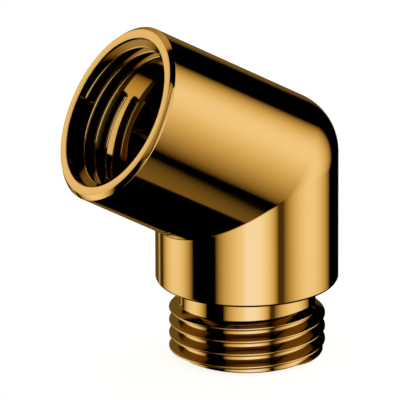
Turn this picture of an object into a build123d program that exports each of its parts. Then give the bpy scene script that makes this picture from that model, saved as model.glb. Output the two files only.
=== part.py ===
from build123d import *
import os
from math import atan, cos, degrees, radians, sin, sqrt, tan

# Both ends carry the same G1/2 pipe thread
thread_diameter = 20.955

# Inlet: a socket that screws onto the handle, with a flat seat for its washer
thread_clearance = 0.045  # across the diameter, between the handle's thread and the socket's plain wall
socket_depth = 7.2
socket_wall = 1.75
socket_chamfer = 0.05
mouth_chamfer = 0.55

# Body: two legs of one diameter that meet at a mitre, sharp inside the bend and rounded outside it
elbow_turn = 60.0  # degrees between the outlet's axis and the inlet's
leg_length = 15.0  # from the shoulder up to the point where the two axes cross
tube_length = 22.3  # from that point to the mouth
corner_radius = 7.0  # round on the outside of the bend, in the plane of the two axes
shoulder_chamfer = 0.3

# Outlet: a spigot that the hose nut screws onto, whose core is bare above the thread and just below it
outlet_length = 10.45
core_diameter = 18.4
neck_length = 3.05  # bare core between shoulder and thread
pilot_length = 0.45  # bare core between thread and end
flank_angle = 27.5  # degrees from level, at both ends of the thread
outlet_chamfer = 0.15

# Waterway: drilled from both ends with a round-nosed cutter
passage_diameter = 13.0

socket_diameter = thread_diameter + thread_clearance
body_diameter = socket_diameter + 2 * socket_wall
body_radius = body_diameter / 2
half_turn = elbow_turn / 2
crossing_height = outlet_length + leg_length

# The outlet's axis is +Z from the centre of its end face, and the inlet's rises towards -X
crossing = Vector(0, 0, crossing_height)
inlet_direction = Vector(-sin(radians(elbow_turn)), 0, cos(radians(elbow_turn)))
outlet_end = Plane.XY
shoulder = outlet_end.offset(outlet_length)
inlet_start = Plane(origin=crossing, x_dir=(0, 1, 0), z_dir=inlet_direction)
mouth = inlet_start.offset(tube_length)

# The corner's arc leaves the leg's outer line at this height above the crossing
mitre_rise = tan(radians(half_turn))
tangent_height = (body_radius - corner_radius) * mitre_rise
leg_tilt = degrees(atan(tangent_height / body_radius))
tube_tilt = elbow_turn - leg_tilt


def alike(one, other):
    """True where two lengths are the same but for rounding."""
    return abs(one - other) < 1e-6


def lies_in(edge, plane):
    """True where an edge lies in a plane from end to end."""
    return all(alike(plane.to_local_coords(edge @ place).Z, 0) for place in (0, 0.5, 1))


def plane_across_bend(tilt):
    """Plane through the crossing and along Y, tilted from level towards the inlet's axis."""
    normal = Vector(-sin(radians(tilt)), 0, cos(radians(tilt)))
    return Plane(origin=crossing, x_dir=(0, 1, 0), z_dir=normal)


def trimmed(leg, tilts, keep):
    """A leg cut at the mitre inside the bend, and where the round corner starts outside it."""
    for tilt in tilts:
        leg = split(leg, bisect_by=plane_across_bend(tilt), keep=keep)
    return leg


def corner_skin(side):
    """Half of the round corner: its arc, swung over a quarter of the body's circle to one side."""
    sharp_corner = Vector(body_radius, 0, body_radius * mitre_rise)
    on_leg = Vector(body_radius, 0, tangent_height)
    on_tube = sharp_corner + inlet_direction * (corner_radius * mitre_rise)
    arc = [(on_leg, 1), (sharp_corner, cos(radians(half_turn))), (on_tube, 1)]
    quarter_circle = [(1, 0, 1), (1, 1, sqrt(0.5)), (0, 1, 1)]
    poles = []
    weights = []
    for point, arc_weight in arc:
        poles.append([crossing + point * outward + Vector(0, side * across * body_radius, 0)
                      for outward, across, _ in quarter_circle])
        weights.append([arc_weight * circle_weight for _, _, circle_weight in quarter_circle])
    return Face.make_bezier_surface(poles, weights)


def round_corner():
    """The wedge that joins the trimmed legs: both halves of the skin, closed by two flat walls."""
    skins = [corner_skin(1), corner_skin(-1)]
    side_reach = Vector(0, body_radius, 0)
    across = Edge.make_line(crossing - side_reach, crossing + side_reach)
    walls = []
    for tilt in (leg_tilt, tube_tilt):
        plane = plane_across_bend(tilt)
        edges = [edge for skin in skins for edge in skin.edges() if edge.length > 0]
        rim = [edge for edge in edges if lies_in(edge, plane)]
        walls.append(Face(Wire(rim + [across])))
    return Solid(Shell(skins + walls))


def elbow():
    """The outside of the body: leg, round corner and tube."""
    spare = 2 * body_radius
    leg = extrude(shoulder * Circle(body_radius), leg_length + spare)
    tube = extrude(inlet_start.offset(-spare) * Circle(body_radius), tube_length + spare)
    leg = trimmed(leg, (half_turn, leg_tilt), Keep.BOTTOM)
    tube = trimmed(tube, (half_turn, tube_tilt), Keep.TOP)
    return leg + tube + round_corner()


def spigot():
    """Outlet turned about Z: the core, and the thread's full diameter with a flank at either end."""
    thread_radius = thread_diameter / 2
    core_radius = core_diameter / 2
    flank_height = (thread_radius - core_radius) * tan(radians(flank_angle))
    neck_start = outlet_length - neck_length
    outline = Polyline(
        (0, 0),
        (core_radius, 0),
        (core_radius, pilot_length),
        (thread_radius, pilot_length + flank_height),
        (thread_radius, neck_start - flank_height),
        (core_radius, neck_start),
        (core_radius, outlet_length),
        (0, outlet_length),
        close=True,
    )
    return revolve(Plane.XZ * make_face(outline), Axis.Z)


def waterway():
    """Both drillings, and the ball left by the cutter's round nose where they meet."""
    outlet_drilling = extrude(outlet_end * Circle(passage_diameter / 2), crossing_height)
    inlet_drilling = extrude(inlet_start * Circle(passage_diameter / 2), tube_length)
    knee = Pos(*crossing) * Sphere(passage_diameter / 2)
    return outlet_drilling + inlet_drilling + knee


def break_edge(shape, plane, diameter, size):
    """Chamfers the round edge of this diameter that lies in the plane."""
    circles = shape.edges().filter_by(GeomType.CIRCLE)
    rim = [edge for edge in circles if alike(2 * edge.radius, diameter) and lies_in(edge, plane)]
    return chamfer(rim, size)


elbow_body = elbow() + spigot()
elbow_body -= extrude(mouth * Circle(socket_diameter / 2), -socket_depth)
elbow_body -= waterway()
elbow_body = break_edge(elbow_body, outlet_end, core_diameter, outlet_chamfer)
elbow_body = break_edge(elbow_body, shoulder, body_diameter, shoulder_chamfer)
elbow_body = break_edge(elbow_body, mouth, body_diameter, mouth_chamfer)
elbow_body = break_edge(elbow_body, mouth, socket_diameter, socket_chamfer)

os.makedirs("parts", exist_ok=True)
export_step(elbow_body, "parts/elbow_body.step")
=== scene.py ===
from math import atan, cos, pi, radians, sin, sqrt, tan

import bmesh
import bpy
from mathutils import Matrix, Vector


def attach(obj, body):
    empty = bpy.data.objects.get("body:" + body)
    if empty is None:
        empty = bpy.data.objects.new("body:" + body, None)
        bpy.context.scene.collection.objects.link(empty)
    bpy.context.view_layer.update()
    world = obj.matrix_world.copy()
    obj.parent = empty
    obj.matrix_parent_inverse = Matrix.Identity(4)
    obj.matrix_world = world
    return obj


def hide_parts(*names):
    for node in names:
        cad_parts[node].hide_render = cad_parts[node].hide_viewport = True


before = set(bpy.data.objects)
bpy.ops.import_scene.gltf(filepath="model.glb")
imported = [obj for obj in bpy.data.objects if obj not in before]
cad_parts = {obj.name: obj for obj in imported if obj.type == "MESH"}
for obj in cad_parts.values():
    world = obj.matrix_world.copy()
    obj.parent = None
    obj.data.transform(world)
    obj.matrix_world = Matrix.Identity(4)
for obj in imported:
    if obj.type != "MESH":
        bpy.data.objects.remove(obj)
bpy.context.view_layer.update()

# Elbow body: one brass casting of two equal legs that meet at a mitre, 120 degrees apart.
# The mitre is a hairline fillet inside the bend and runs out into a round corner outside it,
# and the waterway inside turns the same corner round the ball of a round-nosed cutter.
mm = 0.001
tiny = 0.0001 * mm
segments = 192
corner_steps = 20
elbow_turn = radians(60)
half_turn = elbow_turn / 2
body_radius = 12.25 * mm
corner_radius = 7.0 * mm
passage_radius = 6.5 * mm
outlet_length = 10.45 * mm
leg_length = 15.0 * mm
tube_length = 22.3 * mm
shoulder_bevel_height = 0.3 * mm
up = Vector((0, 0, 1))
crossing = Vector((0, 0, outlet_length + leg_length))
inlet_axis = Vector((-sin(elbow_turn), 0, cos(elbow_turn)))
mitre_normal = Vector((-sin(half_turn), 0, cos(half_turn)))


def pick(kind, inside):
    """Selects, in edit mode, just the vertices, edges or faces that lie wholly where the test says."""
    bpy.ops.mesh.select_mode(type={"verts": "VERT", "edges": "EDGE", "faces": "FACE"}[kind])
    bpy.ops.mesh.select_all(action="DESELECT")
    mesh = bpy.context.edit_object.data
    shape = bmesh.from_edit_mesh(mesh)
    for element in getattr(shape, kind):
        corners = [element] if kind == "verts" else element.verts
        if all(inside(corner.co) for corner in corners):
            element.select_set(True)
    shape.select_flush_mode()
    bmesh.update_edit_mesh(mesh)


def in_plane(point, normal):
    """A test for places in a plane."""
    return lambda place: abs((place - point).dot(normal)) < tiny


def applied(piece, kind, **settings):
    """Adds a modifier with these settings and applies it."""
    modifier = piece.modifiers.new(kind.lower(), kind)
    for name, value in settings.items():
        setattr(modifier, name, value)
    bpy.ops.object.modifier_apply(modifier=modifier.name)


def bent_skin(name, radius, round_radius):
    """An open elbow: one leg is cut off at the mitre, its outer corner rounded, and mirrored there."""
    rim_height = outlet_length + shoulder_bevel_height
    past_mitre = 2 * leg_length
    bpy.ops.object.select_all(action="DESELECT")
    bpy.ops.mesh.primitive_circle_add(vertices=segments, radius=radius, location=(0, 0, rim_height))
    skin = bpy.context.object
    skin.name = name
    bpy.ops.object.transform_apply(location=True, rotation=True, scale=True)
    bpy.ops.object.mode_set(mode="EDIT")
    bpy.ops.mesh.select_all(action="SELECT")
    bpy.ops.mesh.extrude_region_move(TRANSFORM_OT_translate={"value": (0, 0, past_mitre)})
    bpy.ops.mesh.select_all(action="SELECT")
    bpy.ops.mesh.bisect(plane_co=crossing, plane_no=mitre_normal, clear_outer=True, threshold=tiny)

    # The corner's arc starts where it touches the leg's outer line, and is cut into rings up to the mitre
    arc_centre = (radius - round_radius) / cos(half_turn)
    first_tilt = atan((radius - round_radius) * tan(half_turn) / radius)
    tilts = [
        first_tilt + (half_turn - first_tilt) * step / corner_steps
        for step in range(corner_steps + 1)
    ]
    ring_planes = [Vector((-sin(tilt), 0, cos(tilt))) for tilt in tilts]
    for normal in ring_planes[:-1]:
        pick("faces", lambda place: place.x > -tiny)
        bpy.ops.mesh.bisect(plane_co=crossing, plane_no=normal, threshold=tiny)
    for tilt, normal in zip(tilts[1:], ring_planes[1:]):
        across = arc_centre * sin(half_turn - tilt)
        reach = arc_centre * cos(half_turn - tilt) + sqrt(round_radius ** 2 - across ** 2)
        share = reach * cos(tilt) / radius
        on_ring = in_plane(crossing, normal)
        pick("verts", lambda place: place.x > -tiny and on_ring(place))
        bpy.ops.transform.resize(value=(share, 1, share), center_override=crossing)
    bpy.ops.object.mode_set(mode="OBJECT")

    bpy.ops.object.empty_add(location=crossing, rotation=(0, -half_turn, 0))
    mitre_mark = bpy.context.object
    bpy.context.view_layer.objects.active = skin
    applied(skin, "MIRROR", use_axis=(False, False, True), mirror_object=mitre_mark, merge_threshold=tiny)
    bpy.data.objects.remove(mitre_mark)
    return skin


body = bent_skin("adapter_body", body_radius, corner_radius)
passage = bent_skin("passage", passage_radius, passage_radius)

# Turned ends: a lathe faces the shoulder and turns the outlet's core down to 18.4 mm below it,
# and bores the inlet out to a socket with a flat seat for the washer and a bevelled rim.
shoulder_bevel_width = 0.17 * mm
core_radius = 9.2 * mm
neck_fillet = 0.2 * mm
fillet_steps = 5
outlet_chamfer = 0.15 * mm
mouth_chamfer = 0.55 * mm
socket_radius = 10.5 * mm
socket_depth = 7.2 * mm
socket_chamfer = 0.05 * mm
rim_place = leg_length - shoulder_bevel_height
end_place = leg_length + outlet_length
seat_place = tube_length - socket_depth


def turned(piece, axis, first, rings):
    """Draws an open rim out through more rings, each a radius and a place on the axis from the crossing."""
    bpy.ops.object.select_all(action="DESELECT")
    piece.select_set(True)
    bpy.context.view_layer.objects.active = piece
    bpy.ops.object.mode_set(mode="EDIT")
    radius, place = first
    pick("edges", in_plane(crossing + axis * place, axis))
    for next_radius, next_place in rings:
        bpy.ops.mesh.extrude_region_move(TRANSFORM_OT_translate={"value": axis * (next_place - place)})
        share = next_radius / radius
        bpy.ops.transform.resize(value=(share, share, share), center_override=crossing + axis * next_place)
        radius, place = next_radius, next_place
    bpy.ops.object.mode_set(mode="OBJECT")


fillet_turns = [radians(90 * step / fillet_steps) for step in range(fillet_steps + 1)]
neck_rings = [
    (core_radius + neck_fillet * (1 - sin(turn)), leg_length + neck_fillet * (1 - cos(turn)))
    for turn in fillet_turns
]
turned(body, -up, (body_radius, rim_place), [
    (body_radius - shoulder_bevel_width, leg_length),
    *neck_rings,
    (core_radius, end_place - outlet_chamfer),
    (core_radius - outlet_chamfer, end_place),
    (passage_radius, end_place),
])
turned(passage, -up, (passage_radius, rim_place), [(passage_radius, end_place)])
turned(body, inlet_axis, (body_radius, rim_place), [
    (body_radius, tube_length - mouth_chamfer),
    (body_radius - mouth_chamfer, tube_length),
    (socket_radius + socket_chamfer, tube_length),
    (socket_radius, tube_length - socket_chamfer),
    (socket_radius, seat_place),
    (passage_radius, seat_place),
])
turned(passage, inlet_axis, (passage_radius, rim_place), [(passage_radius, seat_place)])

# The waterway's skin closes onto the end face and the seat, the mitre gets its fillet inside the bend,
# and every turned edge but those of the seat is broken a little
merge_distance = 10 * tiny
mitre_fillet = 0.12 * mm
edge_round = 0.05 * mm
round_segments = 3
sharp_angle = radians(25)
in_mitre = in_plane(crossing, mitre_normal)
in_seat = in_plane(crossing + inlet_axis * seat_place, inlet_axis)
inside_bend = Vector((-cos(half_turn), 0, -sin(half_turn)))


def on_inner_mitre(place):
    """True on the outer skin's mitre, inside the bend."""
    reach = place - crossing
    on_skin = reach.length > body_radius - merge_distance
    return in_mitre(place) and on_skin and reach.dot(inside_bend) > -tiny


body.select_set(True)
passage.select_set(True)
bpy.context.view_layer.objects.active = body
bpy.ops.object.join()
bpy.ops.object.mode_set(mode="EDIT")
bpy.ops.mesh.select_all(action="SELECT")
bpy.ops.mesh.remove_doubles(threshold=merge_distance)
bpy.ops.mesh.normals_make_consistent(inside=False)
pick("edges", on_inner_mitre)
bpy.ops.mesh.bevel(offset=mitre_fillet, segments=round_segments, affect="EDGES")
bpy.ops.mesh.select_mode(type="EDGE")
bpy.ops.mesh.select_all(action="DESELECT")
bpy.ops.mesh.edges_select_sharp(sharpness=sharp_angle)
shape = bmesh.from_edit_mesh(body.data)
for edge in shape.edges:
    for left_sharp in (in_mitre, in_seat):
        if all(left_sharp(corner.co) for corner in edge.verts):
            edge.select_set(False)
bmesh.update_edit_mesh(body.data)
bpy.ops.mesh.bevel(offset=edge_round, segments=round_segments, affect="EDGES")
bpy.ops.object.mode_set(mode="OBJECT")

# Threads: the outlet's G1/2 thread stands on the core in nearly four turns. It is cut off flat just above
# the end face, and runs out below the shoulder. The socket's thread is a standing ridge of three turns
# with round ends, as a thread mill leaves it.
pitch = 1.814 * mm
outlet_crest_radius = 10.4775 * mm
outlet_crest_width = 0.16 * mm
outlet_crest_round = 0.07 * mm
outlet_base_width = 1.64 * mm
outlet_turns = 3.955
outlet_lead_in = 3.0 * mm
outlet_run_out = 5.0 * mm
outlet_start_angle = radians(301.875)
outlet_start_height = -0.258 * mm
socket_crest_radius = 9.5 * mm
socket_crest_width = 0.2 * mm
socket_crest_round = 0.09 * mm
socket_base_width = 1.475 * mm
socket_turns = 3.03
socket_tip = 0.65 * mm
socket_start_angle = radians(82)
socket_start_depth = 6.24 * mm
ridge_overlap = 0.15 * mm
crest_segments = 4
smooth_angle = radians(30)


def ridge(name, base_radius, crest_radius, base_width, crest_width, crest_round, turns):
    """A closed helical ridge about Z: a flat tooth with rounded crest, drawn round by a screw."""
    height = crest_radius - base_radius
    bpy.ops.object.select_all(action="DESELECT")
    bpy.ops.mesh.primitive_plane_add(size=1, rotation=(pi / 2, 0, 0))
    piece = bpy.context.object
    piece.name = name
    bpy.ops.object.transform_apply(location=True, rotation=True, scale=True)
    bpy.ops.object.mode_set(mode="EDIT")
    bpy.ops.mesh.select_all(action="SELECT")
    bpy.ops.transform.resize(value=(abs(height), 1, base_width))
    bpy.ops.transform.translate(value=(base_radius + height / 2, 0, 0))
    pick("verts", in_plane(Vector((crest_radius, 0, 0)), Vector((1, 0, 0))))
    bpy.ops.transform.resize(value=(1, 1, crest_width / base_width))
    bpy.ops.mesh.bevel(offset=crest_round, segments=crest_segments, affect="VERTICES")
    bpy.ops.mesh.select_all(action="SELECT")
    bpy.ops.mesh.delete(type="ONLY_FACE")
    bpy.ops.object.mode_set(mode="OBJECT")
    steps = round(segments * turns)
    applied(piece, "SCREW", axis="Z", angle=2 * pi * turns, screw_offset=pitch * turns, iterations=1,
            steps=steps, render_steps=steps, use_smooth_shade=True)
    bpy.ops.object.mode_set(mode="EDIT")
    bpy.ops.mesh.select_all(action="SELECT")
    bpy.ops.mesh.fill_holes(sides=0)
    bpy.ops.mesh.select_all(action="SELECT")
    bpy.ops.mesh.normals_make_consistent(inside=False)
    bpy.ops.object.mode_set(mode="OBJECT")
    return piece


def run_out(piece, wall_radius, end_angle, sense, reach):
    """Draws one end of a ridge on along its helix while it sinks into the wall, to a round tip."""
    end_steps = 6
    tip_turn = radians(84)
    tangent = Vector((-sin(end_angle), cos(end_angle), 0))
    end_height = pitch * end_angle / (2 * pi)
    bpy.ops.object.mode_set(mode="EDIT")
    pick("faces", lambda place: abs(place.dot(tangent)) < tiny and abs(place.z - end_height) < pitch / 2)
    angle = end_angle
    for step in range(end_steps):
        now = tip_turn * step / end_steps
        then = tip_turn * (step + 1) / end_steps
        stride = sense * reach * (sin(then) - sin(now)) / wall_radius
        angle += stride
        rise = pitch * stride / (2 * pi)
        wall = Vector((wall_radius * cos(angle), wall_radius * sin(angle), pitch * angle / (2 * pi)))
        share = cos(then) / cos(now)
        bpy.ops.mesh.extrude_region_move(TRANSFORM_OT_translate={"value": (0, 0, rise)})
        bpy.ops.transform.rotate(value=-stride, orient_axis="Z", center_override=(0, 0, 0))
        bpy.ops.transform.resize(value=(share, share, share), center_override=wall)
    bpy.ops.object.mode_set(mode="OBJECT")


def placed(piece, spin, tilt, place):
    """Turns a ridge to its starting angle, then onto its axis, and moves it there."""
    piece.rotation_euler = (0, 0, spin)
    bpy.ops.object.transform_apply(location=True, rotation=True, scale=True)
    piece.rotation_euler = (0, tilt, 0)
    piece.location = place
    bpy.ops.object.transform_apply(location=True, rotation=True, scale=True)


outlet_thread = ridge("outlet_thread", core_radius - ridge_overlap, outlet_crest_radius, outlet_base_width,
                      outlet_crest_width, outlet_crest_round, outlet_turns)
run_out(outlet_thread, core_radius, 0, -1, outlet_lead_in)
run_out(outlet_thread, core_radius, 2 * pi * outlet_turns, 1, outlet_run_out)
placed(outlet_thread, outlet_start_angle, 0, (0, 0, outlet_start_height))
bpy.ops.object.mode_set(mode="EDIT")
bpy.ops.mesh.select_all(action="SELECT")
bpy.ops.mesh.bisect(plane_co=(0, 0, outlet_chamfer), plane_no=up, clear_inner=True, use_fill=True,
                    threshold=tiny)
bpy.ops.object.mode_set(mode="OBJECT")

socket_thread = ridge("socket_thread", socket_radius + ridge_overlap, socket_crest_radius,
                      socket_base_width, socket_crest_width, socket_crest_round, socket_turns)
run_out(socket_thread, socket_radius, 0, -1, socket_tip)
run_out(socket_thread, socket_radius, 2 * pi * socket_turns, 1, socket_tip)
socket_start = crossing + inlet_axis * (tube_length - socket_start_depth)
placed(socket_thread, socket_start_angle, -elbow_turn, socket_start)

for thread in (outlet_thread, socket_thread):
    bpy.ops.object.select_all(action="DESELECT")
    body.select_set(True)
    bpy.context.view_layer.objects.active = body
    applied(body, "BOOLEAN", operation="UNION", solver="EXACT", object=thread)
    bpy.data.objects.remove(thread)

# Faces run smoothly into each other, except at clear edges
bpy.ops.object.shade_smooth_by_angle(angle=smooth_angle)
applied(body, "WEIGHTED_NORMAL", mode="FACE_AREA", keep_sharp=True)

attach(body, "root")
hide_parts("elbow_body")

# Finish: the brass is polished to a mirror and coated gold, with a faint drift in tone and gloss and a
# ripple from the wheel. Gold seen mirrored in gold gets a darker colour, as painted shade. Between the
# threads' crests the flanks are painted brown as shade, and the socket's bored wall nearly black as painted
# shade.
coat_light = (0.95, 0.69, 0.365, 1)
coat_deep = (0.925, 0.66, 0.335, 1)
# Painted shade: darker colours for gold that is seen mirrored in gold, once and twice over
shade_painted_once_mirrored = (0.72, 0.6, 0.3, 1)
shade_painted_twice_mirrored = (0.16, 0.12, 0.025, 1)
# Painted shade: brown on the threads' flanks and near black on the socket's bored wall
flank_painted_shade = (0.36, 0.22, 0.055, 1)
wall_painted_shade = (0.04, 0.025, 0.006, 1)
drift_scale = 90
drift_detail = 3
glossiest = 0.04
dullest = 0.08
ripple_scale = 240
ripple_detail = 1
ripple_strength = 0.05
ripple_height = 0.01 * mm

# Limits of the painted shade, each from where the shade starts to where it is full
outlet_flank_radii = (
    (core_radius + 0.02 * mm, core_radius + 0.08 * mm),
    (outlet_crest_radius - 0.05 * mm, outlet_crest_radius - 0.12 * mm),
)
outlet_flank_heights = (
    (0.2 * mm, 0.3 * mm),
    (outlet_length - 2.0 * mm, outlet_length - 2.2 * mm),
)
socket_flank_radii = (
    (socket_crest_radius + 0.07 * mm, socket_crest_radius + 0.14 * mm),
    (socket_radius + 0.5 * mm, socket_radius + 0.4 * mm),
)
socket_wall_radii = (
    (socket_radius - 0.1 * mm, socket_radius - 0.04 * mm),
    (socket_radius + 0.5 * mm, socket_radius + 0.4 * mm),
)
socket_heights = (
    (tube_length - 5.9 * mm, tube_length - 5.8 * mm),
    (tube_length - 0.06 * mm, tube_length - 0.16 * mm),
)


def add_node(tree, kind, inputs, **settings):
    """Adds a node with these settings, and feeds its inputs fixed values or other nodes' outputs."""
    node = tree.nodes.new(kind)
    for name, value in settings.items():
        setattr(node, name, value)
    for name, value in inputs.items():
        if isinstance(value, bpy.types.NodeSocket):
            tree.links.new(value, node.inputs[name])
        else:
            node.inputs[name].default_value = value
    return node


def worked_out(tree, operation, *values):
    """The output of a Math node that is fed these values."""
    return add_node(tree, "ShaderNodeMath", dict(enumerate(values)), operation=operation).outputs[0]


def blend(tree, share, first, second):
    """The output of a node that goes from one colour to another."""
    inputs = {"Factor": share, "A": first, "B": second}
    return add_node(tree, "ShaderNodeMix", inputs, data_type="RGBA").outputs["Result"]


gold = bpy.data.materials.new("polished_gold")
gold.use_nodes = True
gold_tree = gold.node_tree
spot = add_node(gold_tree, "ShaderNodeTexCoord", {}).outputs["Object"]


def paint_shade(coat, shade_colour, place, tilt, radii, heights):
    """Lays painted shade over the coat, between limits in radius and in height about one leg's axis."""
    lathe = add_node(gold_tree, "ShaderNodeMapping",
                     {"Vector": spot, "Location": place, "Rotation": (0, tilt, 0)}, vector_type="TEXTURE")
    parts = add_node(gold_tree, "ShaderNodeSeparateXYZ", {0: lathe.outputs[0]}).outputs
    across = add_node(gold_tree, "ShaderNodeCombineXYZ", {"X": parts["X"], "Y": parts["Y"]})
    off_axis = add_node(gold_tree, "ShaderNodeVectorMath", {0: across.outputs[0]}, operation="LENGTH")
    share = 1
    for distance, limits in ((off_axis.outputs["Value"], radii), (parts["Z"], heights)):
        for start, full in limits:
            within = add_node(gold_tree, "ShaderNodeMapRange",
                              {"Value": distance, "From Min": start, "From Max": full})
            share = worked_out(gold_tree, "MULTIPLY", share, within.outputs["Result"])
    return blend(gold_tree, share, coat, shade_colour)


drift = add_node(gold_tree, "ShaderNodeTexNoise",
                 {"Vector": spot, "Scale": drift_scale, "Detail": drift_detail}).outputs["Fac"]
colour = blend(gold_tree, drift, coat_light, coat_deep)
# Painted shade: the deeper a glossy ray has gone, the darker the gold's colour is painted
rays = add_node(gold_tree, "ShaderNodeLightPath", {})
for mirrored, shaded_colour in ((1, shade_painted_once_mirrored), (2, shade_painted_twice_mirrored)):
    reached = worked_out(gold_tree, "GREATER_THAN", rays.outputs["Glossy Depth"], mirrored - 0.5)
    colour = blend(gold_tree, reached, colour, shaded_colour)
# Painted shade on the threads' flanks between the crests, and on the socket's bored wall
colour = paint_shade(colour, flank_painted_shade, (0, 0, 0), 0, outlet_flank_radii, outlet_flank_heights)
colour = paint_shade(colour, flank_painted_shade, crossing, -elbow_turn, socket_flank_radii, socket_heights)
colour = paint_shade(colour, wall_painted_shade, crossing, -elbow_turn, socket_wall_radii, socket_heights)
gloss = add_node(gold_tree, "ShaderNodeMapRange", {"Value": drift, "To Min": glossiest, "To Max": dullest})
ripple = add_node(gold_tree, "ShaderNodeTexNoise",
                  {"Vector": spot, "Scale": ripple_scale, "Detail": ripple_detail}).outputs["Fac"]
wheel = add_node(gold_tree, "ShaderNodeBump",
                 {"Height": ripple, "Strength": ripple_strength, "Distance": ripple_height})
polish = gold_tree.nodes["Principled BSDF"]
polish.inputs["Metallic"].default_value = 1
gold_tree.links.new(colour, polish.inputs["Base Color"])
gold_tree.links.new(gloss.outputs["Result"], polish.inputs["Roughness"])
gold_tree.links.new(wheel.outputs["Normal"], polish.inputs["Normal"])
body.data.materials.clear()
body.data.materials.append(gold)

# Studio: a pale paper floor that the polish doesn't mirror, and softboxes all round, white where they are
# bright and warm where they are dim. Black cloth behind them keeps the white surroundings out of the
# polish, and shows in it between the boxes.
floor_size = 4.0
floor_drop = 0.02 * mm
floor_glow = 0.86
paper_grey = (0.35, 0.35, 0.35, 1)
paper_roughness = 0.9
white = (1, 1, 1, 1)
black = (0, 0, 0, 1)
bpy.ops.object.select_all(action="DESELECT")
bpy.ops.mesh.primitive_plane_add(size=floor_size, location=(0, 0, -floor_drop))
floor = bpy.context.object
floor.name = "floor"
floor.visible_glossy = False

# The paper glows only for rays that look at it, so it lights nothing itself
paper = bpy.data.materials.new("pale_paper")
paper.use_nodes = True
paper_tree = paper.node_tree
rays = add_node(paper_tree, "ShaderNodeLightPath", {})
seen = rays.outputs["Is Camera Ray"]
for kind in ("Is Glossy Ray", "Is Transmission Ray"):
    seen = worked_out(paper_tree, "MAXIMUM", seen, rays.outputs[kind])
glow = worked_out(paper_tree, "MULTIPLY", seen, floor_glow)
sheet = paper_tree.nodes["Principled BSDF"]
sheet.inputs["Base Color"].default_value = paper_grey
sheet.inputs["Roughness"].default_value = paper_roughness
sheet.inputs["Emission Color"].default_value = white
paper_tree.links.new(glow, sheet.inputs["Emission Strength"])
floor.data.materials.append(paper)

# The boxes' light is warmer the dimmer it is: each tone stands where the brightness is as high as its red
box_distance = 0.8
warm_tones = (
    (0.2, 0.125, 0.025),
    (0.44, 0.305, 0.097),
    (0.7, 0.54, 0.235),
    (0.85, 0.71, 0.41),
    (0.94, 0.84, 0.6),
)


def softbox(name, azimuth, half_width, low, high, level, edge=2.4, fall=8, lean=0, knee=0, lean_side="X"):
    """A lit panel that faces the fitting: its azimuth, half width and two elevations are in degrees.

    Its level fades to the sides by the power edge and to top and bottom by the power fall.
    A lean dims it more and more on one side of the knee.
    """
    turn = radians(azimuth)
    width = 2 * box_distance * tan(radians(half_width))
    bottom = box_distance * tan(radians(low))
    top = box_distance * tan(radians(high))
    centre = Vector((box_distance * cos(turn), box_distance * sin(turn), crossing.z + (bottom + top) / 2))
    bpy.ops.object.select_all(action="DESELECT")
    bpy.ops.mesh.primitive_plane_add(size=2, location=centre, rotation=(pi / 2, 0, turn - pi / 2))
    panel = bpy.context.object
    panel.name = name
    panel.scale = (width / 2, (top - bottom) / 2, 1)
    panel.visible_camera = False
    panel.visible_shadow = False
    cloth = bpy.data.materials.new(name)
    cloth.use_nodes = True
    tree = cloth.node_tree
    tree.nodes.remove(tree.nodes["Principled BSDF"])
    on_panel = add_node(tree, "ShaderNodeTexCoord", {}).outputs["Object"]
    parts = add_node(tree, "ShaderNodeSeparateXYZ", {0: on_panel}).outputs
    slope = add_node(tree, "ShaderNodeMath", {0: parts[lean_side], 1: lean, 2: 1 - lean * knee},
                     operation="MULTIPLY_ADD", use_clamp=True)
    brightness = slope.outputs[0]
    for side, power in (("X", edge), ("Y", fall)):
        off_centre = worked_out(tree, "ABSOLUTE", parts[side])
        fade = worked_out(tree, "POWER", off_centre, power)
        rest = worked_out(tree, "SUBTRACT", 1, fade)
        brightness = worked_out(tree, "MULTIPLY", brightness, rest)
    brightness = worked_out(tree, "MULTIPLY", brightness, level)
    ramp = add_node(tree, "ShaderNodeValToRGB", {0: brightness})
    tones = ramp.color_ramp.elements
    tones[0].color = black
    tones[1].color = white
    for red, green, blue in warm_tones:
        tones.new(red).color = (red, green, blue, 1)
    light = add_node(tree, "ShaderNodeEmission", {0: ramp.outputs[0]})
    tree.links.new(light.outputs[0], tree.nodes["Material Output"].inputs[0])
    panel.data.materials.append(cloth)


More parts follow.
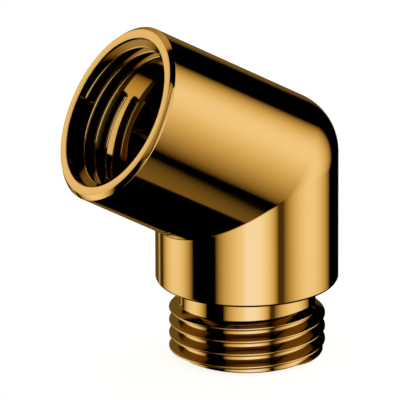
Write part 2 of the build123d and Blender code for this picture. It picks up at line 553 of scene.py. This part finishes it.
softbox("front_box", -115.8, 40.4, -43, 72, 1.0, edge=4, fall=24, lean=-0.49)
softbox("front_low", -114.6, 41.6, -67, -43, 0.22, edge=8, fall=30)
softbox("left_box", -158, 16, 2, 72, 0.5)
softbox("side_box", -29.6, 41.2, -37, 70, 0.94, edge=2, fall=24)
softbox("gap_box", -73.1, 2.9, -25, 45, 0.065, edge=60, fall=60)
softbox("side_low", -45, 21, -60, -37, 0.185, edge=8, fall=30)
softbox("back_box", 142, 31, -50, 45, 0.92)
softbox("rim_box", 118, 17, -5, 26, 0.84, edge=3, fall=3)
softbox("warm_box", 79.5, 33, -50, 63, 0.47, edge=4, lean=1.0, knee=0.281, lean_side="Y")
softbox("warm_low", 71, 9, -47, -26, 0.16, edge=8, fall=12)
softbox("strip_box", 100, 4.5, -50, 0, 0.55)

tent_radius = 2.5
bpy.ops.mesh.primitive_uv_sphere_add(radius=tent_radius)
tent = bpy.context.object
tent.name = "black_cloth"
tent.visible_camera = False
tent.visible_shadow = False
tent.visible_diffuse = False
velvet = bpy.data.materials.new("black_cloth")
velvet.use_nodes = True
nap = velvet.node_tree.nodes["Principled BSDF"]
nap.inputs["Base Color"].default_value = black
nap.inputs["Specular IOR Level"].default_value = 0
tent.data.materials.append(velvet)

world = bpy.context.scene.world or bpy.data.worlds.new("studio")
bpy.context.scene.world = world
world.use_nodes = True
surroundings = world.node_tree.nodes["Background"]
surroundings.inputs["Color"].default_value = white
surroundings.inputs["Strength"].default_value = 1

# Camera: on the inlet's side, a little above, with a long lens as in a product photograph.
# The point where the two axes cross lies above and to the right of the picture's middle.
view_azimuth = radians(-25.696)
view_elevation = radians(19.408)
view_roll = radians(-0.28)
view_distance = 1.1
view_width = 53.28 * mm
sensor_width = 36
crossing_right = 6.207 * mm
crossing_above = 3.929 * mm
level_right = Vector((cos(view_azimuth), sin(view_azimuth), 0))
level_back = Vector((sin(view_azimuth), -cos(view_azimuth), 0))
towards = level_back * cos(view_elevation) + up * sin(view_elevation)
upright = towards.cross(level_right)
right = level_right * cos(view_roll) + upright * sin(view_roll)
above = upright * cos(view_roll) - level_right * sin(view_roll)
aim = crossing - right * crossing_right - above * crossing_above
view_turn = Matrix((right, above, towards)).transposed()
bpy.ops.object.camera_add(location=aim + towards * view_distance, rotation=view_turn.to_euler())
camera = bpy.context.object
camera.data.sensor_width = sensor_width
camera.data.lens = sensor_width * view_distance / view_width
bpy.context.scene.camera = camera
bpy.context.scene.view_settings.view_transform = "Standard"
